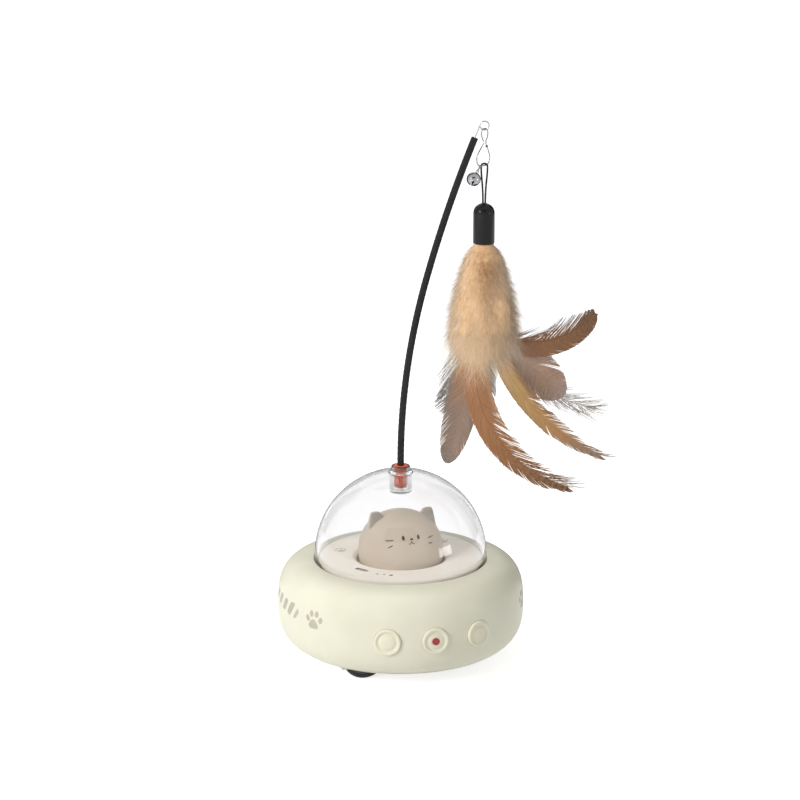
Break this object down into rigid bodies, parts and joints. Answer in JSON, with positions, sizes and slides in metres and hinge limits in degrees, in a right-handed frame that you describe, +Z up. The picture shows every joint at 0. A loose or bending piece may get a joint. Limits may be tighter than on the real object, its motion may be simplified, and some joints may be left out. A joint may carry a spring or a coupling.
{
  "type": "feather cat toy",
  "caption": "Round rolling cat toy base with a clear dome over a cat's head, push buttons, a bent wand and a hanging feather refill with a bell.",
  "frame": {"origin": "centre of the bottom cover's flat underside, on the round base's axis", "axes": "+Z up along the base's axis, -Y towards the front with the buttons and the cat's face, X the way it rolls"},
  "size_m": [0.1508, 0.1163, 0.2541],
  "materials": {
    "shell_cream": "satin moulded plastic",
    "cover_cream": "satin moulded plastic",
    "clear": "clear polished plastic",
    "cat_taupe": "matt soft-touch plastic",
    "button_cream": "satin moulded plastic",
    "lens_red": "clear red plastic",
    "switch_black": "moulded plastic",
    "board_green": "lacquered glass-fibre board",
    "frame_white": "moulded plastic",
    "steel": "drawn steel",
    "plated": "nickel plated",
    "motor_steel": "plated steel can",
    "gear_white": "acetal",
    "brass": "turned brass",
    "hub_grey": "moulded plastic",
    "tyre_black": "moulded rubber",
    "cell_wrap": "shrink film over a steel can",
    "holder_black": "moulded plastic",
    "smoke_clear": "smoke-tinted clear plastic",
    "plug_orange": "soft orange plastic",
    "rod_black": "braided sleeve over a steel core",
    "sleeve_black": "shrink tube",
    "cord_black": "braided elastic",
    "cap_black": "polished plastic",
    "resin": "hot-melt adhesive",
    "plume_tan": "soft down",
    "feather_brown": "feather vane",
    "feather_taupe": "feather vane",
    "feather_amber": "feather vane",
    "feather_pale": "feather vane"
  },
  "bodies": {
    "base": {"body_shell": "shell_cream", "bottom_cover": "cover_cream", "case_screws": "plated", "dome": "clear", "deck_plate": "cover_cream", "cat_head": "cat_taupe", "push_switches": "switch_black", "switch_boards": "board_green", "switch_bracket": "frame_white", "caster_cup": "holder_black", "battery_cell": "cell_wrap", "cell_holder": "holder_black", "main_board": "board_green", "charge_port": "steel", "small_screws": "plated", "gear_pins": "steel", "front_motor": "motor_steel", "rear_motor": "motor_steel", "front_gear_frame": "frame_white", "rear_gear_frame": "frame_white"},
    "left_button_cap": {"left_button": "button_cream"},
    "middle_button_cap": {"middle_button": "button_cream", "led_lens": "lens_red"},
    "right_button_cap": {"right_button": "button_cream"},
    "caster": {"caster_ball": "steel"},
    "collar": {"socket_collar": "smoke_clear"},
    "wand": {"wand_plug": "plug_orange", "wand_rod": "rod_black", "wand_eye": "steel"},
    "clasp": {"snap_clasp": "plated", "clasp_sleeve": "sleeve_black"},
    "bell_drop": {"bell": "plated", "bell_link": "plated", "bell_pellet": "steel"},
    "refill": {"elastic_loop": "cord_black", "feather_cap": "cap_black", "feather_binding": "resin", "feather_plume": "plume_tan", "feather_upper_right": "feather_brown", "feather_round_right": "feather_taupe", "feather_long_right": "feather_brown", "feather_frayed_right": "feather_pale", "feather_amber": "feather_amber", "feather_left_inner": "feather_taupe", "feather_left_outer": "feather_taupe", "feather_pale_back": "feather_pale"},
    "front_wheel": {"front_wheel_hub": "hub_grey", "front_tyre": "tyre_black", "front_axle": "steel", "front_axle_gear": "gear_white"},
    "front_compound": {"front_compound_gear": "gear_white"},
    "front_pinion": {"front_motor_pinion": "brass", "front_motor_shaft": "steel"},
    "rear_wheel": {"rear_wheel_hub": "hub_grey", "rear_tyre": "tyre_black", "rear_axle": "steel", "rear_axle_gear": "gear_white"},
    "rear_compound": {"rear_compound_gear": "gear_white"},
    "rear_pinion": {"rear_motor_pinion": "brass", "rear_motor_shaft": "steel"}
  },
  "joints": [
    {"name": "front_wheel_spin", "type": "hinge", "parent": "base", "child": "front_wheel", "pos_m": [-0.0255, -0.0235, 0.0055], "axis": [0, 1, 0], "continuous": true},
    {"name": "front_compound_spin", "type": "hinge", "parent": "base", "child": "front_compound", "pos_m": [-0.0219, -0.0159, 0.00979], "axis": [0, 1, 0], "continuous": true},
    {"name": "front_pinion_spin", "type": "hinge", "parent": "base", "child": "front_pinion", "pos_m": [-0.01438, -0.0121, 0.01253], "axis": [0, 1, 0], "continuous": true},
    {"name": "rear_wheel_spin", "type": "hinge", "parent": "base", "child": "rear_wheel", "pos_m": [-0.0255, 0.0235, 0.0055], "axis": [0, 1, 0], "continuous": true},
    {"name": "rear_compound_spin", "type": "hinge", "parent": "base", "child": "rear_compound", "pos_m": [-0.0219, 0.0159, 0.00979], "axis": [0, 1, 0], "continuous": true},
    {"name": "rear_pinion_spin", "type": "hinge", "parent": "base", "child": "rear_pinion", "pos_m": [-0.01438, 0.0121, 0.01253], "axis": [0, 1, 0], "continuous": true},
    {"name": "left_button_press", "type": "slide", "parent": "base", "child": "left_button_cap", "axis": [0.3987, 0.9171, 0.0017], "range_m": [0, 0.0006], "stiffness_N_per_m": 300, "springref_m": -0.001},
    {"name": "middle_button_press", "type": "slide", "parent": "base", "child": "middle_button_cap", "axis": [0.0279, 0.9996, 0.0017], "range_m": [0, 0.0006], "stiffness_N_per_m": 300, "springref_m": -0.001},
    {"name": "right_button_press", "type": "slide", "parent": "base", "child": "right_button_cap", "axis": [-0.3518, 0.9361, 0.0017], "range_m": [0, 0.0006], "stiffness_N_per_m": 300, "springref_m": -0.001},
    {"name": "caster_roll", "type": "hinge", "parent": "base", "child": "caster", "pos_m": [0.03, 0, 0], "axis": [0, 1, 0], "continuous": true},
    {"name": "wand_lift", "type": "slide", "parent": "base", "child": "collar", "axis": [0, 0, 1], "range_m": [0, 0.0095]},
    {"name": "wand_turn", "type": "hinge", "parent": "collar", "child": "wand", "pos_m": [0, 0, 0.0852], "axis": [0, 0, 1], "continuous": true},
    {"name": "clasp_swing", "type": "hinge", "parent": "wand", "child": "clasp", "pos_m": [0.03601, -0.01135, 0.24479], "axis": [0.9537, -0.3007, 0], "range_deg": [-30, 30]},
    {"name": "bell_swing", "type": "hinge", "parent": "clasp", "child": "bell_drop", "pos_m": [0.03367, -0.01223, 0.22847], "axis": [0.3007, 0.9537, 0], "range_deg": [0, 8]},
    {"name": "refill_swing", "type": "hinge", "parent": "clasp", "child": "refill", "pos_m": [0.03601, -0.01135, 0.22847], "axis": [-0.9367, -0.3502, 0], "range_deg": [0, 45]}
  ],
  "couplings": [
    {"joint": "front_compound_spin", "follows": "front_wheel_spin", "ratio": -1.8},
    {"joint": "front_pinion_spin", "follows": "front_wheel_spin", "ratio": 5.4},
    {"joint": "rear_compound_spin", "follows": "rear_wheel_spin", "ratio": -1.8},
    {"joint": "rear_pinion_spin", "follows": "rear_wheel_spin", "ratio": 5.4}
  ]
}
